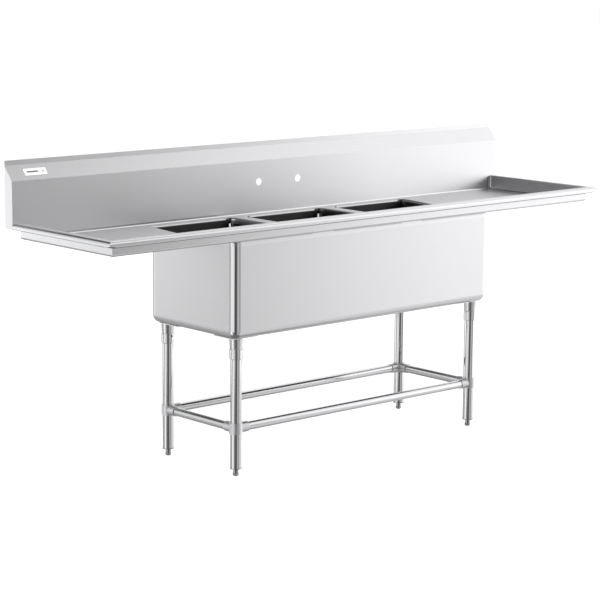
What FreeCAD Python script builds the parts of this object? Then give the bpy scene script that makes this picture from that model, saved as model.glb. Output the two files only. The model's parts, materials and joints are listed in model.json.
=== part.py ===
import FreeCAD, Part
import math
import os

import Sketcher

# Three compartment sink in sheet steel, in millimetres.
# Frame: +X runs along the sink, +Y points at the wall, +Z is up.
# Origin: middle of the footprint, on the floor.

DRIVING_DIMENSIONS = {
    # whole object
    "overall_length": 2495.0,
    "overall_depth": 620.0,
    "overall_height": 1149.0,
    "sheet": 1.6,
    # rims and decks
    "rim_height": 928.5,
    "rim_width": 35.0,
    "rim_roll": 12.0,
    "rim_skirt": 21.0,
    "rim_hem": 14.0,
    "rim_curl": 3.0,
    "rim_notch_length": 42.0,
    "rim_notch_height": 6.0,
    "rim_inner_bend": 4.0,
    "pan_corner": 12.0,
    "corner_step": 0.4,
    "deck_height": 872.0,
    "cove": 6.0,
    "drain_pitch": 9.0,
    # backsplash
    "bend_height": 1079.0,
    "slope_top_height": 1131.0,
    "slope_depth": 44.0,
    "faucet_spacing": 203.2,
    "faucet_height": 996.0,
    "faucet_hole_radius": 14.3,
    # tub
    "tub_setback": 59.2,
    "tub_length": 1314.0,
    "tub_depth": 491.0,
    "tub_bottom": 511.5,
    "tub_top": 850.0,
    "tub_radius": 29.0,
    "edge_roll": 10.0,
    "partition_width": 64.0,
    # floors
    "drain_radius": 44.45,
    "drain_seat": 53.0,
    "drain_cone": 64.0,
    "drain_recess": 4.0,
    # legs
    "leg_diameter": 41.3,
    "leg_wall": 1.5,
    "leg_inset": 47.4,
    "leg_bottom": 29.0,
    "leg_plate_size": 112.0,
    "leg_plate_thickness": 3.0,
    "leg_plate_end_inset": 20.0,
    "leg_plate_face_inset": 30.0,
    "socket_length": 75.5,
    "socket_taper": 37.5,
    "socket_top_radius": 25.0,
    "socket_waist_radius": 22.6,
    "socket_collar_radius": 24.2,
    "socket_edge": 1.5,
    "fit_clearance": 0.05,
    # braces
    "brace_height": 177.0,
    "brace_diameter": 32.0,
    "brace_wall": 1.5,
    "fitting_height": 40.0,
    "fitting_radius": 24.5,
    "fitting_arm": 27.0,
    "fitting_arm_radius": 19.0,
    # feet
    "plug_height": 24.0,
    "plug_flange": 2.5,
    "plug_flange_radius": 22.3,
    "thread_radius": 9.5,
    "foot_radius": 11.5,
    "foot_height": 10.0,
    "foot_chamfer": 3.0,
    "foot_stem_top": 66.0,
    # small hardware
    "screw_radius": 4.0,
    "screw_length": 2.0,
    "plate_length": 100.0,
    "plate_width": 33.0,
    "plate_thickness": 0.6,
    "plate_offset": 115.0,
}

doc = FreeCAD.newDocument("three_compartment_sink")


class Length:
    """A size with its value in millimetres and the spreadsheet formula that gives it."""

    def __init__(self, value, text):
        self.value = float(value)
        self.text = text

    def __add__(self, other):
        other = as_length(other)
        return Length(self.value + other.value, f"({self.text} + {other.text})")

    def __sub__(self, other):
        other = as_length(other)
        return Length(self.value - other.value, f"({self.text} - {other.text})")

    def __mul__(self, factor):
        return Length(self.value * factor, f"({self.text} * {factor})")

    def __truediv__(self, factor):
        return Length(self.value / factor, f"({self.text} / {factor})")

    def __neg__(self):
        return self * -1


def as_length(size):
    return size if isinstance(size, Length) else Length(size, f"({size})")


def root(square):
    return Length(math.sqrt(square.value), f"sqrt({square.text})")


def product(first, second):
    return Length(first.value * second.value, f"({first.text} * {second.text})")


def quotient(first, second):
    return Length(first.value / second.value, f"({first.text} / {second.text})")


def in_order(first, second):
    return (first, second) if first.value < second.value else (second, first)


def make_sheet():
    sheet = doc.addObject("Spreadsheet::Sheet", "Sizes")
    for row, (name, value) in enumerate(DRIVING_DIMENSIONS.items(), start=1):
        sheet.set(f"A{row}", name)
        sheet.set(f"B{row}", str(value))
        sheet.setAlias(f"B{row}", name)
    doc.recompute()
    return {name: Length(sheet.get(name), f"Sizes.{name}") for name in DRIVING_DIMENSIONS}


size = make_sheet()
ZERO = Length(0, "0")
SIDES = {"left": -1, "right": 1}
ENDS = {"front": -1, "back": 1}

# Places that several pieces share
half_length = size["overall_length"] / 2
half_depth = size["overall_depth"] / 2
front_y = -half_depth
splash_y = half_depth - size["sheet"] - size["slope_depth"]
wall_y = front_y + size["rim_width"]
deck_front_y = wall_y + size["sheet"] + size["cove"]
deck_back_y = splash_y - size["cove"]
deck_end_x = half_length - size["rim_width"] - size["sheet"] - size["cove"]
half_tub = size["tub_length"] / 2
bowl_corner = size["tub_radius"] - size["sheet"]
tub_front_y = front_y + size["tub_setback"]
tub_back_y = tub_front_y + size["tub_depth"]
tub_middle_y = (tub_front_y + tub_back_y) / 2
bowl_front_y = tub_front_y + size["sheet"]
bowl_back_y = tub_back_y - size["sheet"]
bowl_width = (size["tub_length"] - size["sheet"] * 2 - size["partition_width"] * 2) / 3
bowl_pitch = bowl_width + size["partition_width"]
deck_join_x = half_tub - size["sheet"] + size["edge_roll"]
deck_underside = size["deck_height"] - size["sheet"]
rim_bottom = size["rim_height"] - size["rim_skirt"]
trough_front_y = bowl_front_y + bowl_corner
trough_back_y = bowl_back_y - bowl_corner
leg_x = half_tub - size["leg_inset"]
leg_y = {"front": tub_front_y + size["leg_inset"], "back": tub_back_y - size["leg_inset"]}
leg_top = size["tub_bottom"] - size["leg_plate_thickness"]
leg_radius = size["leg_diameter"] / 2
BOWLS = {"left": -bowl_pitch, "center": ZERO, "right": bowl_pitch}
CORNERS = {
    f"{end}_{side}": (leg_x * sign, leg_y[end], sign, ENDS[end])
    for end in ENDS
    for side, sign in SIDES.items()
}

finished = {}


# Document helpers

def bind(target, prop, length):
    target.setExpression(prop, as_length(length).text)


def place(target, x=ZERO, y=ZERO, z=ZERO, axis=(0, 0, 1), angle=0.0):
    spot = FreeCAD.Vector(as_length(x).value, as_length(y).value, as_length(z).value)
    turn = FreeCAD.Rotation(FreeCAD.Vector(*axis), angle)
    target.Placement = FreeCAD.Placement(spot, turn)
    for letter, length in (("x", x), ("y", y), ("z", z)):
        bind(target, f"Placement.Base.{letter}", length)


def finish(target, label):
    target.Label = label
    finished[label] = target
    return target


def new_body(name):
    return doc.addObject("PartDesign::Body", name)


def origin_plane(body, role):
    return next(item for item in body.Origin.OriginFeatures if item.Role == role)


def new_sketch(body, name, role, offset=ZERO):
    """Sketch on an origin plane of its body, shifted along the plane's normal."""
    sketch = body.newObject("Sketcher::SketchObject", name)
    sketch.AttachmentSupport = [(origin_plane(body, role), "")]
    sketch.MapMode = "FlatFace"
    bind(sketch, "AttachmentOffset.Base.z", offset)
    return sketch


def pin_point(sketch, index, end, point):
    for kind, length in zip(("DistanceX", "DistanceY"), point):
        sketch.addConstraint(Sketcher.Constraint(kind, -1, 1, index, end, length.value))
        sketch.setExpression(f"Constraints[{sketch.ConstraintCount - 1}]", length.text)


def vector(point):
    return FreeCAD.Vector(point[0].value, point[1].value, 0)


def arc_between(start, finish_point, radius, clockwise):
    """Short arc from start to finish_point."""
    first = vector(start)
    last = vector(finish_point)
    chord = last - first
    reach = math.sqrt(max(radius.value ** 2 - (chord.Length / 2) ** 2, 0.0))
    side = FreeCAD.Vector(-chord.y, chord.x, 0).normalize()
    centre = (first + last) / 2 + side * (reach if not clockwise else -reach)
    angles = [math.atan2(p.y - centre.y, p.x - centre.x) for p in (first, last)]
    if clockwise:
        angles.reverse()
    circle = Part.Circle(centre, FreeCAD.Vector(0, 0, 1), radius.value)
    return Part.ArcOfCircle(circle, angles[0], angles[1])


def add_outline(sketch, points, bends=None):
    """Closed outline through points. bends maps the number of a stretch to its
    (radius, clockwise) where that stretch is an arc."""
    bends = bends or {}
    points = [(as_length(u), as_length(v)) for u, v in points]
    count = len(points)
    tips = []
    for number in range(count):
        start = points[number]
        stop = points[(number + 1) % count]
        if number in bends:
            radius, clockwise = bends[number]
            index = sketch.addGeometry(arc_between(start, stop, radius, clockwise), False)
            sketch.addConstraint(Sketcher.Constraint("Radius", index, radius.value))
            sketch.setExpression(f"Constraints[{sketch.ConstraintCount - 1}]", radius.text)
            tips.append((index, 2, 1) if clockwise else (index, 1, 2))
        else:
            index = sketch.addGeometry(Part.LineSegment(vector(start), vector(stop)), False)
            tips.append((index, 1, 2))
    for number in range(count):
        index, head, _ = tips[number]
        previous, _, tail = tips[number - 1]
        sketch.addConstraint(Sketcher.Constraint("Coincident", previous, tail, index, head))
        pin_point(sketch, index, head, points[number])


def add_rectangle(sketch, low, high):
    add_outline(sketch, [low, (high[0], low[1]), high, (low[0], high[1])])


def add_rounded_rectangle(sketch, low, high, corner):
    left, bottom = (as_length(value) for value in low)
    right, top = (as_length(value) for value in high)
    points = [
        (left + corner, bottom), (right - corner, bottom),
        (right, bottom + corner), (right, top - corner),
        (right - corner, top), (left + corner, top),
        (left, top - corner), (left, bottom + corner),
    ]
    add_outline(sketch, points, {number: (corner, False) for number in (1, 3, 5, 7)})


def add_circle(sketch, centre, radius):
    circle = Part.Circle(vector(centre), FreeCAD.Vector(0, 0, 1), radius.value)
    index = sketch.addGeometry(circle, False)
    sketch.addConstraint(Sketcher.Constraint("Radius", index, radius.value))
    sketch.setExpression(f"Constraints[{sketch.ConstraintCount - 1}]", radius.text)
    pin_point(sketch, index, 3, centre)


def pad(body, sketch, length, midplane=False):
    feature = body.newObject("PartDesign::Pad", f"{body.Name}_pad")
    feature.Profile = sketch
    feature.SideType = "Symmetric" if midplane else "One side"
    bind(feature, "Length", length)
    sketch.Visibility = False
    doc.recompute()
    return feature


def pocket_through(body, sketch):
    """Cut through everything on both sides of the sketch."""
    before = body.Tip.Shape.Volume
    feature = body.newObject("PartDesign::Pocket", f"{body.Name}_pocket")
    feature.Profile = sketch
    feature.Type = "ThroughAll"
    feature.SideType = "Symmetric"
    doc.recompute()
    if feature.Shape.Volume >= before:
        raise RuntimeError(f"{feature.Name} cuts nothing")
    return feature


def revolve(body, sketch):
    turning = body.newObject("PartDesign::Revolution", f"{body.Name}_turning")
    turning.Profile = sketch
    turning.ReferenceAxis = (sketch, ["V_Axis"])
    turning.Angle = 360
    doc.recompute()


def box(name, low, high):
    solid = doc.addObject("Part::Box", name)
    for prop, start, stop in zip(("Length", "Width", "Height"), low, high):
        bind(solid, prop, as_length(stop) - as_length(start))
    place(solid, *low)
    return solid


def cylinder(name, radius, length, x, y, z, axis=(0, 0, 1), angle=0.0):
    solid = doc.addObject("Part::Cylinder", name)
    bind(solid, "Radius", radius)
    bind(solid, "Height", length)
    place(solid, x, y, z, axis, angle)
    return solid


def cut(name, base, tool):
    result = doc.addObject("Part::Cut", name)
    result.Base = base
    result.Tool = tool
    return result


def common(name, base, tool):
    result = doc.addObject("Part::Common", name)
    result.Base = base
    result.Tool = tool
    return result


def fuse(name, pieces):
    result = doc.addObject("Part::MultiFuse", name)
    result.Shapes = pieces
    return result


def group(name, pieces):
    result = doc.addObject("Part::Compound", name)
    result.Links = pieces
    return result


def tube(name, radius, wall, length, x, y, z, axis=(0, 0, 1), angle=0.0):
    outside = cylinder(f"{name}_outside", radius, length, x, y, z, axis, angle)
    inside = cylinder(f"{name}_inside", radius - wall, length, x, y, z, axis, angle)
    return cut(name, outside, inside)


# Rims: a raised wall, a flat ledge and an edge rolled down and under

def add_rim_section(sketch):
    """Section of a rim: first axis inward from the lip, second axis up from the floor."""
    thick = size["sheet"]
    top = size["rim_height"]
    wall = size["rim_width"]
    roll = size["rim_roll"]
    curl = size["rim_curl"]
    bend = size["rim_inner_bend"]
    cove = size["cove"]
    low = rim_bottom
    deck = size["deck_height"]
    inner = wall + thick
    points = [
        (inner + cove, deck), (inner, deck + cove),
        (inner, top - bend), (inner - bend, top),
        (roll, top), (ZERO, top - roll),
        (ZERO, low + curl), (curl, low),
        (size["rim_hem"], low), (size["rim_hem"], low + thick),
        (curl, low + thick), (thick, low + curl),
        (thick, top - roll), (roll, top - thick),
        (inner - bend, top - thick), (wall, top - bend),
        (wall, deck + cove), (inner + cove, deck - thick),
    ]
    bends = {
        0: (cove, True),
        2: (bend, False),
        4: (roll, False),
        6: (curl, False),
        10: (curl - thick, True),
        12: (roll - thick, True),
        14: (bend - thick, True),
        16: (cove + thick, False),
    }
    add_outline(sketch, points, bends)


def mitre(body, name, corner, reach_x, reach_y):
    """Cut off the right-angled triangle that has its right angle at corner."""
    sketch = new_sketch(body, name, "XY_Plane")
    x, y = corner
    add_outline(sketch, [corner, (x + reach_x, y), (x, y + reach_y)])
    pocket_through(body, sketch)


def notch(body, name, end_x, direction):
    """Relieve the hem towards the mitre at end_x, so that the two rims fold clear of each other."""
    sketch = new_sketch(body, name, "XZ_Plane", -size["rim_hem"] - 2)
    low = rim_bottom - 1
    tip = rim_bottom + size["rim_notch_height"]
    inner_x = end_x - size["rim_notch_length"] * direction
    add_outline(sketch, [(end_x, low), (inner_x, low), (end_x, tip)])
    feature = body.newObject("PartDesign::Pocket", f"{name}_pocket")
    feature.Profile = sketch
    feature.Reversed = True
    bind(feature, "Length", size["rim_hem"] + 4)
    before = feature.BaseFeature.Shape.Volume
    doc.recompute()
    if feature.Shape.Volume >= before:
        raise RuntimeError(f"{feature.Name} cuts nothing")


rim_mitre = size["rim_width"] * 2


def make_front_rim():
    body = new_body("front_rim")
    sketch = new_sketch(body, "front_rim_section", "YZ_Plane")
    add_rim_section(sketch)
    pad(body, sketch, size["overall_length"], midplane=True)
    for side, sign in SIDES.items():
        corner = (half_length * sign, rim_mitre)
        mitre(body, f"front_rim_mitre_{side}", corner, -rim_mitre * sign, -rim_mitre)
        notch(body, f"front_rim_notch_{side}", half_length * sign, sign)
    place(body, ZERO, front_y)
    finish(body, "front_rim")


def add_pan_corner(body, name, end_x, wall, direction):
    """Round the inside corner between a side rim's wall and the backsplash."""
    radius = size["pan_corner"]
    step = size["corner_step"]
    tip = radius + step
    corner = new_sketch(body, f"{name}_pan_corner", "XY_Plane", size["deck_height"] + size["cove"])
    across = [(ZERO, ZERO), (tip, ZERO), (tip, step), (step, tip), (ZERO, tip)]
    points = [(end_x + along * direction, wall + inward) for along, inward in across]
    add_outline(corner, points, {2: (radius, direction > 0)})
    pad(body, corner, size["rim_height"] - size["rim_inner_bend"] - size["deck_height"] - size["cove"])


def make_side_rim(side, sign):
    """A side rim, drawn along the X axis and then turned to run from front to back."""
    name = f"{side}_rim"
    length = splash_y - front_y
    body = new_body(name)
    sketch = new_sketch(body, f"{name}_section", "YZ_Plane")
    add_rim_section(sketch)
    pad(body, sketch, length)
    front_end = length if side == "left" else ZERO
    back_end = ZERO if side == "left" else length
    mitre(body, f"{name}_front_mitre", (front_end, rim_mitre), rim_mitre * sign, -rim_mitre)
    notch(body, f"{name}_notch", front_end, -sign)
    inner = size["rim_width"] + size["sheet"]
    cove = size["cove"]
    mitre(body, f"{name}_cove_mitre", (back_end, inner + cove), cove * -sign, -cove)
    add_pan_corner(body, name, back_end, inner, -sign)
    place(body, half_length * sign, splash_y if side == "left" else front_y, angle=90 * sign)
    finish(body, name)


# Backsplash: coved foot, upright face, shoulder leaning back, upright lip

def make_backsplash():
    thick = size["sheet"]
    cove = size["cove"]
    deck = size["deck_height"]
    bend = size["bend_height"]
    slope_top = size["slope_top_height"]
    body = new_body("backsplash")
    sketch = new_sketch(body, "backsplash_section", "YZ_Plane")
    points = [
        (deck_back_y, deck - thick), (splash_y + thick, deck + cove),
        (splash_y + thick, bend - bend_drop), (half_depth, slope_top - bend_drop),
        (half_depth, size["overall_height"]), (half_depth - thick, size["overall_height"]),
        (half_depth - thick, slope_top), (splash_y, bend),
        (splash_y, deck + cove), (deck_back_y, deck),
    ]
    add_outline(sketch, points, {0: (cove + thick, False), 8: (cove, True)})
    pad(body, sketch, size["overall_length"], midplane=True)
    trims = new_sketch(body, "backsplash_cove_trims", "XY_Plane")
    for sign in SIDES.values():
        start = deck_end_x * sign
        end = half_length * sign
        slant = (deck_end_x + cove) * sign
        add_outline(trims, [(start, deck_back_y), (end, deck_back_y), (end, splash_y), (slant, splash_y)])
    pocket_through(body, trims)
    feet = new_sketch(body, "backsplash_foot_trims", "XZ_Plane")
    for sign in SIDES.values():
        near, far = in_order((half_length - size["rim_width"]) * sign, half_length * sign)
        add_rectangle(feet, (near, deck_underside), (far, rim_bottom))
    pocket_through(body, feet)
    holes = new_sketch(body, "backsplash_faucet_holes", "XZ_Plane")
    for sign in SIDES.values():
        centre = (size["faucet_spacing"] / 2 * sign, size["faucet_height"])
        add_circle(holes, centre, size["faucet_hole_radius"])
    pocket_through(body, holes)
    finish(body, "backsplash")


slope_rise = size["slope_top_height"] - size["bend_height"]
slope_length = root(product(slope_rise, slope_rise) + product(size["slope_depth"], size["slope_depth"]))
bend_drop = quotient(product(size["sheet"], slope_length - slope_rise), size["slope_depth"])


def make_backsplash_cap(side, sign):
    name = f"backsplash_cap_{side}"
    inside = splash_y + size["sheet"]
    start = -half_length if side == "left" else half_length - size["sheet"]
    body = new_body(name)
    sketch = new_sketch(body, f"{name}_outline", "YZ_Plane", start)
    points = [
        (inside, rim_bottom), (half_depth, rim_bottom),
        (half_depth, size["slope_top_height"] - bend_drop), (inside, size["bend_height"] - bend_drop),
    ]
    add_outline(sketch, points)
    pad(body, sketch, size["sheet"])
    finish(body, name)


def make_maker_plate():
    """Blank plate on the shoulder, near its left end."""
    plate = doc.addObject("Part::Box", "maker_plate")
    bind(plate, "Length", size["plate_length"])
    bind(plate, "Width", size["plate_width"])
    bind(plate, "Height", size["plate_thickness"])
    half_width = size["plate_width"] / 2
    back = product(half_width, quotient(size["slope_depth"], slope_length))
    down = product(half_width, quotient(slope_rise, slope_length))
    x = size["plate_offset"] - half_length - size["plate_length"] / 2
    y = splash_y + size["slope_depth"] / 2 - back
    z = (size["bend_height"] + size["slope_top_height"]) / 2 - down
    lean = math.degrees(math.atan2(slope_rise.value, size["slope_depth"].value))
    place(plate, x, y, z, (1, 0, 0), lean)
    finish(plate, "maker_plate")


# Decks

def drainboard_section(body, name, y, dip, sign):
    """Section of a drainboard across the sink, from its outer end to the roll into the bowl."""
    thick = size["sheet"]
    roll = size["edge_roll"]
    deck = size["deck_height"]
    edge = deck - dip
    inner_face = half_tub - thick
    sketch = new_sketch(body, name, "XZ_Plane", -y)
    across = [
        (deck_end_x, deck), (deck_join_x, edge),
        (inner_face, edge - roll), (inner_face, size["tub_top"]),
        (half_tub, size["tub_top"]), (half_tub, edge - roll),
        (deck_join_x, edge - thick), (deck_end_x, deck - thick),
    ]
    points = [(x * sign, z) for x, z in across]
    bends = {1: (roll, sign < 0), 5: (roll - thick, sign > 0)}
    add_outline(sketch, points, bends)
    sketch.Visibility = False
    return sketch


def make_drainboard(side, sign):
    """A drainboard: a trough that falls to the bowl, between two level strips."""
    name = f"drainboard_{side}"
    body = new_body(name)
    front = drainboard_section(body, f"{name}_front_section", trough_front_y, ZERO, sign)
    middle_y = (trough_front_y + trough_back_y) / 2
    middle = drainboard_section(body, f"{name}_middle_section", middle_y, size["drain_pitch"], sign)
    back = drainboard_section(body, f"{name}_back_section", trough_back_y, ZERO, sign)
    doc.recompute()
    loft = body.newObject("PartDesign::AdditiveLoft", f"{name}_trough")
    loft.Profile = front
    loft.Sections = [middle, back]
    loft.Ruled = True
    doc.recompute()
    strips = new_sketch(body, f"{name}_strips", "XY_Plane", deck_underside)
    near, far = in_order(deck_join_x * sign, deck_end_x * sign)
    add_rectangle(strips, (near, deck_front_y), (far, trough_front_y))
    add_rectangle(strips, (near, trough_back_y), (far, deck_back_y))
    pad(body, strips, size["sheet"])
    finish(body, name)


spare_end_x = deck_join_x + 6


def deck_block(name, top, growth, roll):
    """Solid under a deck surface, with three bowl openings whose top edges are rounded."""
    body = new_body(name)
    sketch = new_sketch(body, f"{name}_plan", "XY_Plane", size["tub_top"])
    add_rectangle(sketch, (-spare_end_x, deck_front_y), (spare_end_x, deck_back_y))
    for centre in BOWLS.values():
        reach = bowl_width / 2 + growth
        low = (centre - reach, bowl_front_y - growth)
        high = (centre + reach, bowl_back_y + growth)
        add_rounded_rectangle(sketch, low, high, bowl_corner + growth)
    block = pad(body, sketch, top - size["tub_top"])
    rolled = body.newObject("PartDesign::Fillet", f"{name}_rolls")
    rolled.Base = (block, opening_edges(block.Shape, top.value))
    bind(rolled, "Radius", roll)
    doc.recompute()
    return body


def opening_edges(shape, height):
    """Names of the edges at that height that aren't on the outer boundary."""
    names = []
    outer = shape.BoundBox
    for number, edge in enumerate(shape.Edges, start=1):
        edge_box = edge.BoundBox
        level = abs(edge_box.ZMin - height) < 0.01 and abs(edge_box.ZMax - height) < 0.01
        inside_x = edge_box.XMin > outer.XMin + 1 and edge_box.XMax < outer.XMax - 1
        inside_y = edge_box.YMin > outer.YMin + 1 and edge_box.YMax < outer.YMax - 1
        if level and inside_x and inside_y:
            names.append(f"Edge{number}")
    return names


def make_bowl_deck():
    """Sheet round the bowls, with its edges rolled down into them, webs that carry the front
    and back panels up between the bowls, and a gap at each end where a drainboard rolls down
    instead."""
    above = deck_block("bowl_deck_above", size["deck_height"], ZERO, size["edge_roll"])
    below = deck_block("bowl_deck_below", deck_underside, size["sheet"], size["edge_roll"] - size["sheet"])
    webs = []
    web_reach = size["partition_width"] / 2 + bowl_corner
    for side, sign in SIDES.items():
        centre = bowl_pitch / 2 * sign
        for end, front, back in (("front", tub_front_y, bowl_front_y), ("back", bowl_back_y, tub_back_y)):
            low = (centre - web_reach, front, size["tub_top"])
            high = (centre + web_reach, back, deck_underside)
            webs.append(box(f"bowl_deck_web_{end}_{side}", low, high))
    sheet = fuse("bowl_deck_sheet", [cut("bowl_deck_skin", above, below)] + webs)
    gaps = []
    low_z = size["tub_top"] - 5
    high_z = size["deck_height"] + 5
    spans = {
        "gap": (half_tub - size["edge_roll"], trough_front_y, trough_back_y),
        "end": (deck_join_x, deck_front_y - 5, deck_back_y + 5),
    }
    for side, sign in SIDES.items():
        for kind, (inner_x, front, back) in spans.items():
            left, right = in_order(inner_x * sign, (spare_end_x + 5) * sign)
            gaps.append(box(f"bowl_deck_{kind}_{side}", (left, front, low_z), (right, back, high_z)))
    finish(cut("bowl_deck_trimmed", sheet, fuse("bowl_deck_gaps", gaps)), "bowl_deck")


# Tub: one box with round corners, cut where its sheets are welded

def tub_block(name, growth, radius):
    """Rounded block of the tub, shrunk all round by -growth but flush at the top."""
    body = new_body(name)
    floor = size["tub_bottom"] - growth
    sketch = new_sketch(body, f"{name}_plan", "XY_Plane", floor)
    low = (-half_tub - growth, tub_front_y - growth)
    high = (half_tub + growth, tub_back_y + growth)
    add_rectangle(sketch, low, high)
    block = pad(body, sketch, size["tub_top"] - floor)
    top = size["tub_top"].value
    edges = [
        f"Edge{number}" for number, edge in enumerate(block.Shape.Edges, start=1)
        if edge.BoundBox.ZMin < top - 1
    ]
    rounded = body.newObject("PartDesign::Fillet", f"{name}_corners")
    rounded.Base = (block, edges)
    bind(rounded, "Radius", radius)
    doc.recompute()
    return body


def make_tub():
    outside = tub_block("tub_outside", ZERO, size["tub_radius"])
    inside = tub_block("tub_inside", -size["sheet"], bowl_corner)
    shell = cut("tub_shell", outside, inside)
    radius = size["tub_radius"]
    bottom, top = size["tub_bottom"], size["tub_top"]
    spans = {
        "tub_front_panel": (-half_tub + radius, half_tub - radius, tub_front_y, tub_front_y + radius),
        "tub_back_panel": (-half_tub + radius, half_tub - radius, tub_back_y - radius, tub_back_y),
        "tub_end_left": (-half_tub, -half_tub + radius, tub_front_y, tub_back_y),
        "tub_end_right": (half_tub - radius, half_tub, tub_front_y, tub_back_y),
    }
    for name, (left, right, front, back) in spans.items():
        region = box(f"{name}_region", (left, front, bottom), (right, back, top))
        finish(common(f"{name}_sheet", shell, region), name)
    for side, sign in SIDES.items():
        make_partition(side, sign, inside)


def make_partition(side, sign, tub_inside):
    """Hollow double wall between two bowls, with coved flanges along the front and back panels."""
    name = f"partition_{side}"
    wall = size["partition_width"] / 2
    cove = bowl_corner
    step = size["corner_step"]
    front = bowl_front_y
    back = bowl_back_y
    tip = wall + cove
    centre = bowl_pitch / 2 * sign
    points = [
        (-tip, front), (tip, front),
        (tip, front + step), (wall, front + step + cove),
        (wall, back - step - cove), (tip, back - step),
        (tip, back), (-tip, back),
        (-tip, back - step), (-wall, back - step - cove),
        (-wall, front + step + cove), (-tip, front + step),
    ]
    bends = {number: (cove, True) for number in (2, 4, 8, 10)}
    body = new_body(f"{name}_walls")
    sketch = new_sketch(body, f"{name}_plan", "XY_Plane", size["tub_bottom"])
    add_outline(sketch, points, bends)
    thick = size["sheet"]
    add_rectangle(sketch, (-wall + thick, front + thick), (wall - thick, back - thick))
    pad(body, sketch, size["tub_top"] - size["tub_bottom"])
    place(body, centre)
    finish(common(f"{name}_trimmed", body, tub_inside), name)


def make_bowl_floor(bowl, centre):
    """Floor of a bowl, with a recess pressed round its drain opening."""
    name = f"bowl_floor_{bowl}"
    edge = half_tub - size["tub_radius"] - bowl_pitch
    left = -edge if bowl == "left" else -bowl_pitch / 2
    right = edge if bowl == "right" else bowl_pitch / 2
    half_floor = size["tub_depth"] / 2 - size["tub_radius"]
    body = new_body(name)
    plan = new_sketch(body, f"{name}_plan", "XY_Plane")
    add_rectangle(plan, (left, -half_floor), (right, half_floor))
    add_circle(plan, (ZERO, ZERO), size["drain_cone"])
    pad(body, plan, size["sheet"])
    section = new_sketch(body, f"{name}_recess_section", "XZ_Plane")
    seat = -size["drain_recess"]
    thick = size["sheet"]
    points = [
        (size["drain_radius"], seat), (size["drain_seat"], seat),
        (size["drain_cone"], ZERO), (size["drain_cone"], thick),
        (size["drain_seat"], seat + thick), (size["drain_radius"], seat + thick),
    ]
    add_outline(section, points)
    revolve(body, section)
    place(body, centre, tub_middle_y, size["tub_bottom"])
    finish(body, name)


# Legs, each with its plate, socket, plug and foot

socket_bottom = leg_top - size["socket_length"]
screw_height = socket_bottom + 28


def make_leg_plate(corner, sign, end_sign):
    span = size["leg_plate_size"]
    outer_x = (half_tub - size["leg_plate_end_inset"]) * sign
    inset = size["leg_plate_face_inset"]
    outer_y = tub_front_y + inset if end_sign < 0 else tub_back_y - inset
    left, right = in_order(outer_x, outer_x - span * sign)
    front, back = in_order(outer_y, outer_y - span * end_sign)
    plate = box(f"leg_plate_{corner}_box", (left, front, leg_top), (right, back, size["tub_bottom"]))
    finish(plate, f"leg_plate_{corner}")


def socket_turning(corner, x, y):
    """A leg socket before it is bored: it tapers down to a waist, with a collar below."""
    body = new_body(f"leg_socket_{corner}_turned")
    sketch = new_sketch(body, f"leg_socket_{corner}_section", "XZ_Plane")
    top = size["socket_length"]
    waist = top - size["socket_taper"]
    edge = size["socket_edge"]
    collar = size["socket_collar_radius"]
    points = [
        (ZERO, ZERO), (collar - edge, ZERO), (collar, edge), (collar, waist - edge),
        (size["socket_waist_radius"], waist), (size["socket_top_radius"], top), (ZERO, top),
    ]
    add_outline(sketch, points)
    revolve(body, sketch)
    place(body, x, y, socket_bottom)
    return body


def make_leg(corner, x, y, sign, end_sign):
    fit = size["fit_clearance"]
    make_leg_plate(corner, sign, end_sign)
    turning = socket_turning(corner, x, y)
    bore = cylinder(f"leg_socket_{corner}_bore", leg_radius + fit, size["socket_length"], x, y, socket_bottom)
    screw_hole = cylinder(
        f"leg_socket_{corner}_screw_hole", size["screw_radius"], size["socket_top_radius"] + 1,
        x, y, screw_height, (1, 0, 0), 90 * end_sign)
    hollows = fuse(f"leg_socket_{corner}_hollows", [bore, screw_hole])
    finish(cut(f"leg_socket_{corner}_cut", turning, hollows), f"leg_socket_{corner}")

    length = leg_top - size["leg_bottom"]
    finish(tube(f"leg_{corner}_tube", leg_radius, size["leg_wall"], length, x, y, size["leg_bottom"]),
           f"leg_{corner}")
    make_plug(corner, x, y)
    make_foot(corner, x, y)


def make_plug(corner, x, y):
    """Threaded plug driven into the leg's lower end."""
    fit = size["fit_clearance"]
    flange_bottom = size["leg_bottom"] - size["plug_flange"]
    core = cylinder(f"leg_plug_{corner}_core", leg_radius - size["leg_wall"] - fit,
                    size["plug_height"], x, y, size["leg_bottom"])
    flange = cylinder(f"leg_plug_{corner}_flange", size["plug_flange_radius"], size["plug_flange"],
                      x, y, flange_bottom)
    thread = cylinder(f"leg_plug_{corner}_thread", size["thread_radius"] + fit,
                      size["plug_height"] + size["plug_flange"], x, y, flange_bottom)
    solid = fuse(f"leg_plug_{corner}_solid", [core, flange])
    finish(cut(f"leg_plug_{corner}_cut", solid, thread), f"leg_plug_{corner}")


def make_foot(corner, x, y):
    """Screw foot: hexagonal head with a chamfered sole, and a threaded stem."""
    body = new_body(f"foot_{corner}_turning")
    sketch = new_sketch(body, f"foot_{corner}_section", "XZ_Plane")
    radius = size["foot_radius"]
    chamfer = size["foot_chamfer"]
    head = size["foot_height"]
    points = [
        (ZERO, ZERO), (radius - chamfer, ZERO), (radius, chamfer), (radius, head),
        (size["thread_radius"], head), (size["thread_radius"], size["foot_stem_top"]),
        (ZERO, size["foot_stem_top"]),
    ]
    add_outline(sketch, points)
    revolve(body, sketch)
    place(body, x, y)
    prism = doc.addObject("Part::Prism", f"foot_{corner}_hexagon")
    prism.Polygon = 6
    bind(prism, "Circumradius", radius * 1.06)
    bind(prism, "Height", size["foot_stem_top"])
    place(prism, x, y)
    finish(common(f"foot_{corner}_solid", body, prism), f"foot_{corner}")


# Braces: a tube along each side, in a fitting clamped round each leg

arm_reach = size["fitting_radius"] + size["fitting_arm"]
tube_start = size["fitting_radius"] + 2


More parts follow.
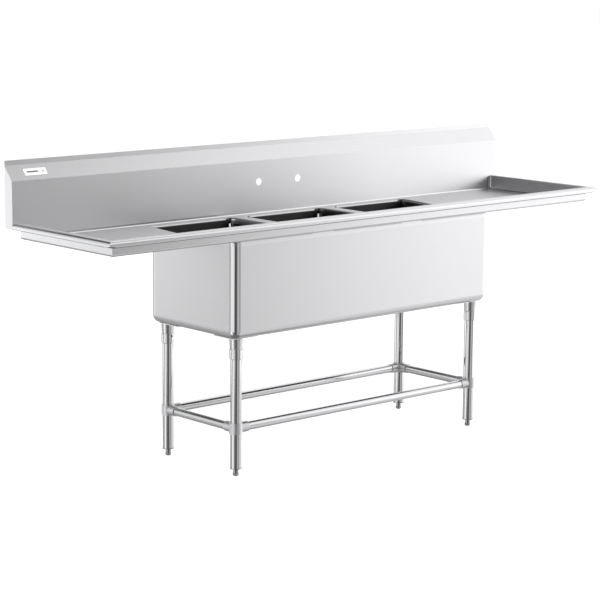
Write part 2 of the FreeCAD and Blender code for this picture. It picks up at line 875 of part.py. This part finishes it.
def arm_screw_spot(letter, x, y, sign, end_sign):
    """Where the grub screw under an arm of a fitting stands."""
    reach = arm_reach - size["fitting_arm"] / 2
    return (x - reach * sign, y) if letter == "x" else (x, y - reach * end_sign)


def make_brace_fitting(corner, x, y, sign, end_sign):
    name = f"brace_fitting_{corner}"
    fit = size["fit_clearance"]
    height = size["brace_height"]
    low = height - size["fitting_height"] / 2
    collar = cylinder(f"{name}_collar", size["fitting_radius"], size["fitting_height"], x, y, low)
    along_x = ((0, 1, 0), -90 * sign)
    along_y = ((1, 0, 0), 90 * end_sign)
    bore_radius = size["brace_diameter"] / 2 + fit
    arms = []
    bores = [cylinder(f"{name}_bore", leg_radius + fit, size["fitting_height"], x, y, low)]
    for letter, (axis, angle) in (("x", along_x), ("y", along_y)):
        arms.append(cylinder(f"{name}_arm_{letter}", size["fitting_arm_radius"], arm_reach,
                             x, y, height, axis, angle))
        start_x = x - tube_start * sign if letter == "x" else x
        start_y = y - tube_start * end_sign if letter == "y" else y
        bores.append(cylinder(f"{name}_bore_{letter}", bore_radius, size["fitting_arm"],
                              start_x, start_y, height, axis, angle))
        screw_x, screw_y = arm_screw_spot(letter, x, y, sign, end_sign)
        bores.append(cylinder(f"{name}_screw_hole_{letter}", size["screw_radius"],
                              size["fitting_arm_radius"] + 1, screw_x, screw_y, height, (1, 0, 0), 180))
    solid = fuse(f"{name}_solid", [collar] + arms)
    finish(cut(f"{name}_cut", solid, fuse(f"{name}_hollows", bores)), name)


def make_braces():
    radius = size["brace_diameter"] / 2
    wall = size["brace_wall"]
    height = size["brace_height"]
    length_x = (leg_x - tube_start) * 2
    length_y = leg_y["back"] - leg_y["front"] - tube_start * 2
    for end in ENDS:
        start = -leg_x + tube_start
        piece = tube(f"brace_{end}_tube", radius, wall, length_x, start, leg_y[end], height, (0, 1, 0), 90)
        finish(piece, f"brace_{end}")
    for side, sign in SIDES.items():
        start = leg_y["front"] + tube_start
        piece = tube(f"brace_{side}_tube", radius, wall, length_y, leg_x * sign, start, height, (1, 0, 0), -90)
        finish(piece, f"brace_{side}")


def make_set_screws():
    """Grub screws: through the sockets on the legs, and up through the fittings on the braces."""
    gap = size["fit_clearance"]
    start = leg_radius + gap
    radius = size["screw_radius"] - gap
    under_brace = size["brace_height"] - size["brace_diameter"] / 2 - gap
    in_sockets = []
    in_fittings = []
    for corner, (x, y, sign, end_sign) in CORNERS.items():
        in_sockets.append(cylinder(f"socket_screw_{corner}", radius, size["screw_length"],
                                   x, y - start * end_sign, screw_height, (1, 0, 0), 90 * end_sign))
        for letter in ("x", "y"):
            screw_x, screw_y = arm_screw_spot(letter, x, y, sign, end_sign)
            in_fittings.append(cylinder(f"fitting_screw_{corner}_{letter}", radius, size["screw_length"],
                                        screw_x, screw_y, under_brace, (1, 0, 0), 180))
    finish(group("socket_set_screw_group", in_sockets), "socket_set_screws")
    finish(group("brace_set_screw_group", in_fittings), "brace_set_screws")


def check_and_export():
    doc.recompute()
    failed = [item.Name for item in doc.Objects if {"Invalid", "Error"} & set(item.State)]
    if failed:
        raise RuntimeError(f"failed objects: {failed}")
    os.makedirs("parts", exist_ok=True)
    for label, item in finished.items():
        shape = item.Shape
        if shape.isNull() or not shape.isValid() or not shape.Solids:
            raise RuntimeError(f"{label} has no valid solid")
        shape.exportStep(f"parts/{label}.step")
    print(len(finished), "nodes")


make_front_rim()
make_backsplash()
make_maker_plate()
make_bowl_deck()
make_tub()
for side_name, side_sign in SIDES.items():
    make_side_rim(side_name, side_sign)
    make_backsplash_cap(side_name, side_sign)
    make_drainboard(side_name, side_sign)
for bowl_name, bowl_centre in BOWLS.items():
    make_bowl_floor(bowl_name, bowl_centre)
for corner_name, corner_spot in CORNERS.items():
    make_leg(corner_name, *corner_spot)
    make_brace_fitting(corner_name, *corner_spot)
make_braces()
make_set_screws()
check_and_export()
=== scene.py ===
import json
import math

import bpy
from mathutils import Matrix, Vector

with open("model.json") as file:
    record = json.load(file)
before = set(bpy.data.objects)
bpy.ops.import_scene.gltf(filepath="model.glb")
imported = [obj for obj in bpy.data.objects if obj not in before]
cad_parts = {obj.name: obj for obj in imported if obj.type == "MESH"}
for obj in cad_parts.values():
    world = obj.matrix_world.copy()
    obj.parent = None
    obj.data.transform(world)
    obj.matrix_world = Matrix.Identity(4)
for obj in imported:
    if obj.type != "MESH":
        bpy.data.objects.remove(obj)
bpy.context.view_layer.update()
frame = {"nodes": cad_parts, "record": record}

nodes = frame["nodes"]

# Camera: in front of the sink and to its left, a metre above its rim, looking a little down
CAMERA_PLACE = Vector((-5.292, -5.767, 1.927))
CAMERA_AZIMUTH = math.radians(41.89)
CAMERA_DROP = math.radians(9.96)
CAMERA_ROLL = math.radians(0.43)
CAMERA_LENS = 123.4
SENSOR_WIDTH = 36.0
CLIP_END = 100.0

# What the steel reflects round the horizon: the bearing from the sink's front in degrees,
# positive to the right, and the brightness there in linear light. The low set is what the
# legs and braces show, because the camera looks further down at them.
LEVEL_PANELS = (
    (-180, 0.50), (-166, 0.70), (-153, 2.60), (-147, 2.40), (-140, 0.95), (-130, 0.62),
    (-112, 0.60), (-103, 1.30), (-62, 1.25), (-54, 0.42), (-45, 0.10), (-26, 0.10),
    (-15, 0.40), (-4, 0.80), (4, 0.80), (14, 0.48), (22, 0.48), (33, 0.20), (38, 0.46),
    (41, 0.98), (44, 1.78), (48, 2.15), (60, 1.78), (75, 1.75), (105, 1.85), (125, 0.60),
    (150, 0.35), (180, 0.50),
)
LOW_PANELS = (
    (-180, 0.50), (-150, 0.60), (-138, 0.70), (-128, 0.42), (-122, 0.50), (-114, 1.55),
    (-98, 1.75), (-88, 1.00), (-76, 0.45), (-64, 0.22), (-45, 0.13), (-26, 0.15),
    (-14, 0.45), (-4, 0.70), (6, 0.55), (16, 0.42), (26, 0.65), (37, 0.95), (50, 0.95),
    (64, 1.00), (90, 1.25), (105, 1.25), (125, 0.70), (150, 0.40), (180, 0.50),
)
LOW_PANEL_HEIGHTS = (-0.195, -0.225)

# What it reflects above and below the panels: the wall behind the sink, a bright screen on
# the right, the dark ceiling and the ground. Each comes in over a stretch of bearings in
# degrees, of heights, or of both. A height is the upward part of a direction, from -1 to 1.
BACK_WALL = 1.05
BACK_WALL_BEARINGS = (112, 132)
BACK_WALL_HEIGHTS = (-0.06, 0.10)
SCREEN = 1.42
SCREEN_BEARINGS = (15, 45)
SCREEN_HEIGHTS = (0.30, 0.50)
CEILING = 0.08
CEILING_HEIGHTS = (0.64, 0.96)
GROUND = 0.22
GROUND_HEIGHTS = (-0.56, -0.86)

# At the rear the screen and the ceiling come down by this much
REAR_DROP = 0.34
REAR_BEARINGS = (136, 150)

# Floor and softbox. Lengths are in metres, and the power is in watts.
FLOOR_TONE = 0.9
FLOOR_ROUGHNESS = 0.9
FLOOR_GLOW = 0.65
FLOOR_HALF = 30.0
FOOT_TRAVEL = 0.012
SOFTBOX_SIZE = (3.0, 2.0)
SOFTBOX_POWER = 260.0
SOFTBOX_PLACE = (-2.5, -4.0, 4.0)
SOFTBOX_TARGET = Vector((0.0, 0.0, 0.7))

# The space inside the bowls and their partitions, in metres
BOWL_LOW = (-0.6558, -0.2496, 0.5)
BOWL_HIGH = (0.6558, 0.2390, 0.8680)
BOWL_SOFTNESS = 0.0004

# How far out the rims' faces lie, and the channel behind their lips, as heights and as
# distances inward. The channel is shaded over FRONT_STRETCH, as distances from the front. The
# right rim's inner wall is shaded a little.
RIM_FRONT = 0.310
RIM_SIDE = 1.2475
CHANNEL_HEIGHTS = (0.9005, 0.9270)
CHANNEL_DEPTHS = (0.0010, 0.0358)
HEIGHT_SOFTNESS = 0.0015
DEPTH_SOFTNESS = 0.0004
FRONT_STRETCH = (0.10, 0.05)
RIGHT_WALL = (1.18, 1.20)
RIGHT_WALL_SHADE = 0.35

# Painted shade in the crease above the backsplash's cove: its heights, where it deepens from the
# left end on and from how much to how much, and where it has faded again
CREASE_HEIGHTS = (0.8775, 0.8835)
CREASE_DEEPENS = (-1.20, -0.70)
CREASE_SHADES = (0.15, 0.60)
CREASE_FADES = (-0.05, -0.45)
CREASE_SOFTNESS = 0.0012

# Which way a face looks, as ramps of the parts of its normal. AWAY is for a face that looks
# the negative way along an axis, and BENT is for one that looks along none of them.
AWAY = (-0.5, -0.9)
NOT_UPWARD = (0.15, 0.02)
LEVEL_OR_DOWN = (0.2, 0.0)
UPRIGHT = (0.3, 0.1)
BENT = (0.995, 0.93)
END_ON = 0.8

# Brushed steel: the shares of fine and coarse marks, how much less often the coarse ones
# repeat, how far the marks and soft patches sway the tone and the roughness, how blue the grey
# is, and how much of its tone steel keeps in the shade
FINE_SHARE = 0.6
FINE_DETAIL = 3.0
COARSE_SHARE = 0.4
COARSE_STRETCH = 0.12
STREAK_DEPTH = 0.06
PATCH_SCALE = 3.1
PATCH_DEPTH = 0.05
TONE_RANGE = (0.72, 1.28)
ROUGH_BY_STREAKS = 0.8
ROUGH_BY_PATCHES = 0.7
RELIEF_STRENGTH = 0.03
RELIEF_DEPTH = 0.0004
COOLNESS = 0.008
SHADED = 0.22

# Painted highlight in an upright corner: a band and a weaker one beside it, by the level parts
# of the normal, and how metallic the highlighted steel still looks, so that the softbox lights it
HIGHLIGHT_BAND = (0.76, 0.90)
HIGHLIGHT_BESIDE = (0.80, 0.86)
HIGHLIGHT_BESIDE_SHARE = 0.35
HIGHLIGHT_SOFTNESS = 0.02
HIGHLIGHT_METAL = 0.15

# Where along the sink a sheet's lean grows to twice its amount, in metres
LEAN_GROWS = (-0.3, 0.7)

# The blank plate: its white field, bar and dot as parts of its length and height, its tones
# and its mottle
FIELD_LENGTH = (0.03, 0.97)
FIELD_HEIGHT = (0.08, 0.92)
BAR_LENGTH = (0.14, 0.62)
DOT_LENGTH = (0.80, 0.86)
PRINT_HEIGHT = (0.42, 0.62)
PRINT_TONE = 0.10
EDGE_TONE = 0.45
WHITE_TONES = (0.84, 0.92)
PLATE_ROUGHNESS = (0.34, 0.46)
MOTTLE_SCALE = 40.0
MOTTLE_RANGE = (0.2, 0.8)

# For each grain: its direction, the direction it takes on faces that it would meet end on,
# and how the noise that draws it is stretched
GRAINS = {
    "long": ((1, 0, 0), (0, 1, 0), (5.0, 620.0, 620.0)),
    "upright": ((0, 0, 1), (1, 0, 0), (620.0, 620.0, 5.0)),
    "even": ((1, 0, 0), (0, 1, 0), (260.0, 260.0, 260.0)),
}

# Where a mix node keeps its two values and its result
MIX_SOCKETS = {"RGBA": (6, 7, 2), "VECTOR": (4, 5, 1)}


# Node helpers

class Tree:
    """Short names for building a node tree."""

    def __init__(self, tree):
        self.tree = tree
        tree.nodes.clear()

    def node(self, kind, **settings):
        made = self.tree.nodes.new(kind)
        for key, value in settings.items():
            setattr(made, key, value)
        return made

    def link(self, source, target):
        self.tree.links.new(source, target)

    def feed(self, target, value):
        """Connect value to a socket, or set it there when it is a plain number or colour."""
        if isinstance(value, bpy.types.NodeSocket):
            self.link(value, target)
        else:
            target.default_value = value

    def math(self, operation, first, second=0.0):
        made = self.node("ShaderNodeMath", operation=operation)
        self.feed(made.inputs[0], first)
        self.feed(made.inputs[1], second)
        return made.outputs[0]

    def plus(self, first, second):
        return self.math("ADD", first, second)

    def times(self, first, second):
        return self.math("MULTIPLY", first, second)

    def absolute(self, value):
        return self.math("ABSOLUTE", value)

    def vector_math(self, operation, first, second=None, result="Vector"):
        made = self.node("ShaderNodeVectorMath", operation=operation)
        self.link(first, made.inputs[0])
        if second is not None:
            self.link(second, made.inputs[1])
        return made.outputs[result]

    def dot(self, first, second):
        return self.vector_math("DOT_PRODUCT", first, second, "Value")

    def ramp(self, value, low, high, to_low=0.0, to_high=1.0):
        """Smooth step from to_low at low to to_high at high. low may be the larger of the two."""
        made = self.node("ShaderNodeMapRange", interpolation_type="SMOOTHSTEP")
        self.feed(made.inputs["Value"], value)
        made.inputs["From Min"].default_value = low
        made.inputs["From Max"].default_value = high
        self.feed(made.inputs["To Min"], to_low)
        self.feed(made.inputs["To Max"], to_high)
        return made.outputs["Result"]

    def blend(self, mask, first, second):
        """first where the mask is 0, second where it is 1, and smoothly between them."""
        return self.ramp(mask, 0.0, 1.0, first, second)

    def within(self, value, low, high, soft):
        """1 between low and high, 0 elsewhere. Each edge is twice soft wide."""
        above = self.ramp(value, low - soft, low + soft)
        below = self.ramp(value, high + soft, high - soft)
        return self.times(above, below)

    def separate(self, source):
        made = self.node("ShaderNodeSeparateXYZ")
        self.link(source, made.inputs["Vector"])
        return made.outputs

    def combine(self, parts):
        made = self.node("ShaderNodeCombineXYZ")
        for target, part in zip(made.inputs, parts):
            self.feed(target, part)
        return made.outputs[0]

    def noise(self, coordinates, scale, detail=2.0, stretch=(1, 1, 1)):
        mapping = self.node("ShaderNodeMapping")
        self.link(coordinates, mapping.inputs["Vector"])
        mapping.inputs["Scale"].default_value = stretch
        made = self.node("ShaderNodeTexNoise")
        self.link(mapping.outputs["Vector"], made.inputs["Vector"])
        made.inputs["Scale"].default_value = scale
        made.inputs["Detail"].default_value = detail
        return made.outputs["Fac"]

    def mix(self, factor, first, second, kind="RGBA"):
        made = self.node("ShaderNodeMix", data_type=kind)
        start, end, result = MIX_SOCKETS[kind]
        self.feed(made.inputs[0], factor)
        self.feed(made.inputs[start], first)
        self.feed(made.inputs[end], second)
        return made.outputs[result]

    def show(self, shader, output="ShaderNodeOutputMaterial"):
        self.link(shader.outputs[0], self.node(output).inputs["Surface"])


def new_material(name):
    material = bpy.data.materials.new(name)
    material.use_nodes = True
    return material, Tree(material.node_tree)


def grey(value, coolness=0.0):
    return (value * (1 - coolness), value * (1 - coolness), value * (1 + coolness), 1.0)


# Where the steel lies in the shade

def inside_bowls(tree, here, normal):
    """1 on what lies inside the bowls and faces the middle of the sink, 0 elsewhere."""
    inside = 1.0
    for value, low, high in zip(tree.separate(here), BOWL_LOW, BOWL_HIGH):
        inside = tree.times(tree.within(value, low, high, BOWL_SOFTNESS), inside)
    level = tree.vector_math("MULTIPLY", here, tree.combine((1, 1, 0)))
    outward = tree.dot(level, normal)
    return tree.times(inside, tree.math("LESS_THAN", outward, 0.0))


def under_lip(tree, here, normal):
    """1 in the channel between a rim's lip and its wall, along the sink's front and on what
    doesn't face up. RIGHT_WALL_SHADE on the inner wall of the right rim, and 0 elsewhere."""
    east, north, height = tree.separate(here)
    from_front = tree.plus(north, RIM_FRONT)
    from_side = tree.math("SUBTRACT", RIM_SIDE, tree.absolute(east))
    inward = tree.math("MINIMUM", from_front, from_side)
    raised = tree.within(height, *CHANNEL_HEIGHTS, HEIGHT_SOFTNESS)
    channel = tree.times(tree.within(inward, *CHANNEL_DEPTHS, DEPTH_SOFTNESS), raised)
    sideways, _, upward = tree.separate(normal)
    near_the_front = tree.ramp(from_front, *FRONT_STRETCH)
    seen = tree.times(tree.ramp(upward, *NOT_UPWARD), near_the_front)
    leftward = tree.ramp(sideways, *AWAY, 0.0, RIGHT_WALL_SHADE)
    right_wall = tree.times(leftward, tree.ramp(east, *RIGHT_WALL))
    return tree.math("MAXIMUM", tree.times(channel, seen), right_wall)


def above_cove(tree, here, normal):
    """Painted shade in a soft band where the backsplash rises from its cove, darkest beside the
    left bowl.
    """
    east, _, height = tree.separate(here)
    from_left = tree.ramp(east, *CREASE_DEEPENS, *CREASE_SHADES)
    along = tree.times(from_left, tree.ramp(east, *CREASE_FADES))
    forward = tree.ramp(tree.separate(normal)[1], *AWAY)
    crease = tree.times(tree.within(height, *CREASE_HEIGHTS, CREASE_SOFTNESS), forward)
    return tree.times(crease, along)


# Materials

def across_grain(tree, normal, grain_axis, spare_axis):
    """Direction in the surface across the brush marks, along which they smear reflections."""
    aligned = tree.absolute(tree.dot(normal, tree.combine(grain_axis)))
    end_on = tree.math("GREATER_THAN", aligned, END_ON)
    marks = tree.mix(end_on, tree.combine(grain_axis), tree.combine(spare_axis), "VECTOR")
    return tree.vector_math("CROSS_PRODUCT", normal, marks)


def brush_marks(tree, here, stretch):
    """Noise round 0.5, drawn out along the grain."""
    coarse_stretch = tuple(amount * COARSE_STRETCH for amount in stretch)
    fine = tree.noise(here, 1.0, FINE_DETAIL, stretch)
    coarse = tree.noise(here, 1.0, stretch=coarse_stretch)
    return tree.plus(tree.times(fine, FINE_SHARE), tree.times(coarse, COARSE_SHARE))


def corner_highlight_mask(tree, facing):
    """1 on the painted highlight in an upright corner, less on the band beside it, 0 elsewhere."""
    beside = tree.within(facing[0], *HIGHLIGHT_BESIDE, HIGHLIGHT_SOFTNESS)
    band = tree.within(facing[1], *HIGHLIGHT_BAND, HIGHLIGHT_SOFTNESS)
    bands = tree.plus(band, tree.times(beside, HIGHLIGHT_BESIDE_SHARE))
    return tree.times(bands, tree.ramp(facing[2], *UPRIGHT))


def leaning_back(tree, here, normal, facing, lean):
    """The normal, tipped up by lean on upright faces, and by twice that at the right end."""
    bow = tree.ramp(tree.separate(here)[0], *LEAN_GROWS, lean, lean * 2.0)
    upward = tree.combine((0.0, 0.0, tree.ramp(facing[2], *UPRIGHT, 0.0, bow)))
    return tree.vector_math("NORMALIZE", tree.vector_math("ADD", normal, upward))


def steel(name, tone, satin, polished, grain="even", brushed=0.0, corner_highlight=0.0, lean=0.0,
          shade=None, underside=0.0):
    """Flat stretches have the roughness satin, and what is bent or rolled has the roughness
    polished. grain names the axis that the brush marks follow, and brushed is how strongly
    they smear reflections. corner_highlight is the tone of a painted highlight in an upright
    corner. lean tips upright faces back a little, as a wide sheet bows. shade says where the
    steel lies in the shade. underside is a painted-light tone for what doesn't face up."""
    material, tree = new_material(name)
    place = tree.node("ShaderNodeTexCoord")
    here = place.outputs["Object"]
    normal = place.outputs["Normal"]
    facing = [tree.absolute(part) for part in tree.separate(normal)]
    axis, spare, stretch = GRAINS[grain]

    marks = brush_marks(tree, here, stretch)
    cloud = tree.noise(here, PATCH_SCALE)
    streak = tree.times(tree.math("SUBTRACT", marks, 0.5), STREAK_DEPTH)
    patch = tree.times(tree.math("SUBTRACT", cloud, 0.5), PATCH_DEPTH)
    level = tree.plus(tree.plus(streak, patch), 0.5)
    darkest, lightest = (grey(tone * amount, COOLNESS) for amount in TONE_RANGE)
    colour = tree.mix(level, darkest, lightest)
    metal = 1.0
    # Painted highlight: a bright, less metallic band in upright corners, which the softbox lights
    if corner_highlight:
        painted_highlight = corner_highlight_mask(tree, facing)
        colour = tree.mix(painted_highlight, colour, grey(corner_highlight, COOLNESS))
        metal = tree.blend(painted_highlight, 1.0, HIGHLIGHT_METAL)
    # Painted light: faces that don't face up take a lighter tone than the rest
    if underside:
        not_up = tree.ramp(tree.separate(normal)[2], *LEVEL_OR_DOWN)
        colour = tree.mix(not_up, colour, grey(underside, COOLNESS))
    if shade:
        colour = tree.mix(shade(tree, here, normal), colour, grey(tone * SHADED, COOLNESS))

    flattest = tree.math("MAXIMUM", tree.math("MAXIMUM", facing[0], facing[1]), facing[2])
    rough = tree.blend(tree.ramp(flattest, *BENT), satin, polished)
    rough = tree.plus(rough, tree.times(streak, ROUGH_BY_STREAKS))
    rough = tree.plus(rough, tree.times(patch, ROUGH_BY_PATCHES))

    relief = tree.node("ShaderNodeBump")
    relief.inputs["Strength"].default_value = RELIEF_STRENGTH
    relief.inputs["Distance"].default_value = RELIEF_DEPTH
    tree.link(marks, relief.inputs["Height"])
    if lean:
        tree.link(leaning_back(tree, here, normal, facing, lean), relief.inputs["Normal"])

    shader = tree.node("ShaderNodeBsdfPrincipled")
    tree.feed(shader.inputs["Metallic"], metal)
    tree.link(colour, shader.inputs["Base Color"])
    tree.link(rough, shader.inputs["Roughness"])
    tree.link(relief.outputs["Normal"], shader.inputs["Normal"])
    if brushed:
        shader.inputs["Anisotropic"].default_value = brushed
        tree.link(across_grain(tree, normal, axis, spare), shader.inputs["Tangent"])
    tree.show(shader)
    return material


def blank_label(name):
    """White printed plate with a grey edge line and a dark bar and dot, without any text."""
    material, tree = new_material(name)
    place = tree.node("ShaderNodeTexCoord")
    along, _, up = tree.separate(place.outputs["Generated"])

    def strip(value, low, high):
        above = tree.math("GREATER_THAN", value, low)
        return tree.times(above, tree.math("LESS_THAN", value, high))

    print_height = strip(up, *PRINT_HEIGHT)
    bar = tree.times(strip(along, *BAR_LENGTH), print_height)
    dot = tree.times(strip(along, *DOT_LENGTH), print_height)
    printed = tree.math("MAXIMUM", bar, dot)
    field = tree.times(strip(along, *FIELD_LENGTH), strip(up, *FIELD_HEIGHT))
    mottle = tree.noise(place.outputs["Object"], MOTTLE_SCALE)
    dull, bright = (grey(tone) for tone in WHITE_TONES)
    framed = tree.mix(field, grey(EDGE_TONE), tree.mix(mottle, dull, bright))
    rough = tree.ramp(mottle, *MOTTLE_RANGE, *PLATE_ROUGHNESS)
    shader = tree.node("ShaderNodeBsdfPrincipled")
    tree.link(tree.mix(printed, framed, grey(PRINT_TONE)), shader.inputs["Base Color"])
    tree.link(rough, shader.inputs["Roughness"])
    tree.show(shader)
    return material


STEELS = {
    "rim_steel": dict(tone=0.74, satin=0.26, polished=0.16, grain="long", brushed=0.75,
                      shade=under_lip),
    "backsplash_steel": dict(tone=0.82, satin=0.34, polished=0.20, grain="long", brushed=0.5,
                             lean=0.10, shade=above_cove),
    # The deck's faces that don't face up are painted lighter than its top, as painted light
    "deck_steel": dict(tone=0.63, satin=0.32, polished=0.20, grain="long", brushed=0.75,
                       shade=inside_bowls, underside=0.85),
    "tub_steel": dict(tone=0.78, satin=0.30, polished=0.07, grain="long", brushed=0.75,
                      shade=inside_bowls),
    # bowl_steel is dark as painted shade inside the bowls, and its bright corner bands are a
    # painted highlight
    "bowl_steel": dict(tone=0.17, satin=0.26, polished=0.20, corner_highlight=0.95),
    "socket_steel": dict(tone=0.80, satin=0.22, polished=0.22),
    "plug_steel": dict(tone=0.40, satin=0.32, polished=0.32),
    "leg_steel": dict(tone=0.76, satin=0.09, polished=0.09, grain="upright"),
    "fitting_metal": dict(tone=0.80, satin=0.42, polished=0.42),
    "screw_steel": dict(tone=0.08, satin=0.40, polished=0.40),
    "brace_steel": dict(tone=0.76, satin=0.13, polished=0.13),
    "foot_steel": dict(tone=0.42, satin=0.10, polished=0.10),
}


def dress_nodes():
    materials = {name: steel(name, **looks) for name, looks in STEELS.items()}
    materials["blank_plate"] = blank_label("blank_plate")
    slots = {row["node"]: row["material_slot"] for row in frame["record"]["subparts"]}
    for name, part in nodes.items():
        material = materials[slots[name]]
        if part.material_slots:
            for slot in part.material_slots:
                slot.material = material
        else:
            part.data.materials.append(material)


# Studio

def make_camera():
    ahead = Vector((
        math.sin(CAMERA_AZIMUTH) * math.cos(CAMERA_DROP),
        math.cos(CAMERA_AZIMUTH) * math.cos(CAMERA_DROP),
        -math.sin(CAMERA_DROP),
    ))
    level = Vector((math.cos(CAMERA_AZIMUTH), -math.sin(CAMERA_AZIMUTH), 0.0))
    upright = level.cross(ahead)
    right = level * math.cos(CAMERA_ROLL) + upright * math.sin(CAMERA_ROLL)
    up = upright * math.cos(CAMERA_ROLL) - level * math.sin(CAMERA_ROLL)
    turn = Matrix((right, up, -ahead)).transposed()
    camera = bpy.data.objects.new("camera", bpy.data.cameras.new("camera"))
    camera.data.lens = CAMERA_LENS
    camera.data.sensor_width = SENSOR_WIDTH
    camera.data.clip_end = CLIP_END
    camera.matrix_world = Matrix.Translation(CAMERA_PLACE) @ turn.to_4x4()
    bpy.context.scene.collection.objects.link(camera)
    bpy.context.scene.camera = camera


def panels(tree, turn, table):
    """Brightness read from a table of panels. turn is the bearing as a part of a full turn."""
    made = tree.node("ShaderNodeFloatCurve")
    curve = made.mapping.curves[0]
    highest = max(brightness for _, brightness in table)
    for spot, (degrees, brightness) in enumerate(table):
        point = (degrees / 360 + 0.5, brightness / highest)
        if spot in (0, len(table) - 1):
            curve.points[-1 if spot else 0].location = point
        else:
            curve.points.new(*point)
    for point in curve.points:
        point.handle_type = "VECTOR"
    made.mapping.update()
    tree.link(turn, made.inputs["Value"])
    return tree.times(made.outputs[0], highest)


def in_radians(bearings):
    return [math.radians(bearing) for bearing in bearings]


def make_surroundings():
    """White to the camera. What the steel reflects is brightest at both sides and dark overhead."""
    world = bpy.data.worlds.new("studio")
    bpy.context.scene.world = world
    world.use_nodes = True
    tree = Tree(world.node_tree)
    direction = tree.node("ShaderNodeTexCoord").outputs["Generated"]
    east, north, height = tree.separate(direction)
    bearing = tree.math("ARCTAN2", east, tree.times(north, -1.0))
    turn = tree.plus(tree.math("DIVIDE", bearing, 2 * math.pi), 0.5)
    from_front = tree.absolute(bearing)

    low_down = tree.ramp(height, *LOW_PANEL_HEIGHTS)
    level = panels(tree, turn, LEVEL_PANELS)
    shown = tree.blend(low_down, level, panels(tree, turn, LOW_PANELS))
    behind = tree.ramp(from_front, *in_radians(BACK_WALL_BEARINGS))
    raised = tree.ramp(height, *BACK_WALL_HEIGHTS)
    shown = tree.blend(tree.times(behind, raised), shown, BACK_WALL)
    rear = tree.ramp(from_front, *in_radians(REAR_BEARINGS))
    lifted = tree.plus(height, tree.times(rear, REAR_DROP))
    to_the_right = tree.ramp(bearing, *in_radians(SCREEN_BEARINGS))
    screen = tree.times(to_the_right, tree.ramp(lifted, *SCREEN_HEIGHTS))
    shown = tree.blend(screen, shown, SCREEN)
    shown = tree.ramp(lifted, *CEILING_HEIGHTS, shown, CEILING)
    shown = tree.ramp(height, *GROUND_HEIGHTS, shown, GROUND)

    glow = tree.node("ShaderNodeBackground")
    tree.link(shown, glow.inputs["Strength"])
    white = tree.node("ShaderNodeBackground")
    white.inputs["Color"].default_value = grey(1.0)
    rays = tree.node("ShaderNodeLightPath")
    choice = tree.node("ShaderNodeMixShader")
    tree.link(rays.outputs["Is Camera Ray"], choice.inputs[0])
    tree.link(glow.outputs[0], choice.inputs[1])
    tree.link(white.outputs[0], choice.inputs[2])
    tree.show(choice, "ShaderNodeOutputWorld")


def make_floor():
    """A plain pale floor, as low as the feet reach when they are screwed out."""
    material, tree = new_material("floor")
    shader = tree.node("ShaderNodeBsdfPrincipled")
    shader.inputs["Base Color"].default_value = grey(FLOOR_TONE)
    shader.inputs["Roughness"].default_value = FLOOR_ROUGHNESS
    shader.inputs["Emission Color"].default_value = grey(1.0)
    shader.inputs["Emission Strength"].default_value = FLOOR_GLOW
    tree.show(shader)
    signs = ((-1, -1), (1, -1), (1, 1), (-1, 1))
    outline = [(x * FLOOR_HALF, y * FLOOR_HALF, -FOOT_TRAVEL) for x, y in signs]
    mesh = bpy.data.meshes.new("floor")
    mesh.from_pydata(outline, [], [(0, 1, 2, 3)])
    mesh.materials.append(material)
    floor = bpy.data.objects.new("floor", mesh)
    floor.visible_glossy = False
    bpy.context.scene.collection.objects.link(floor)


def make_lights():
    """One softbox, for the plate, the painted highlights in the bowls' corners and the floor. Bare
    steel doesn't show it.
    """
    softbox = bpy.data.lights.new("softbox", "AREA")
    softbox.shape = "RECTANGLE"
    softbox.size, softbox.size_y = SOFTBOX_SIZE
    softbox.energy = SOFTBOX_POWER
    lamp = bpy.data.objects.new("softbox", softbox)
    lamp.location = SOFTBOX_PLACE
    aim = SOFTBOX_TARGET - lamp.location
    lamp.rotation_euler = aim.to_track_quat("-Z", "Y").to_euler()
    lamp.visible_glossy = False
    bpy.context.scene.collection.objects.link(lamp)


make_camera()
make_surroundings()
make_floor()
make_lights()
dress_nodes()
bpy.context.scene.view_settings.view_transform = "Standard"
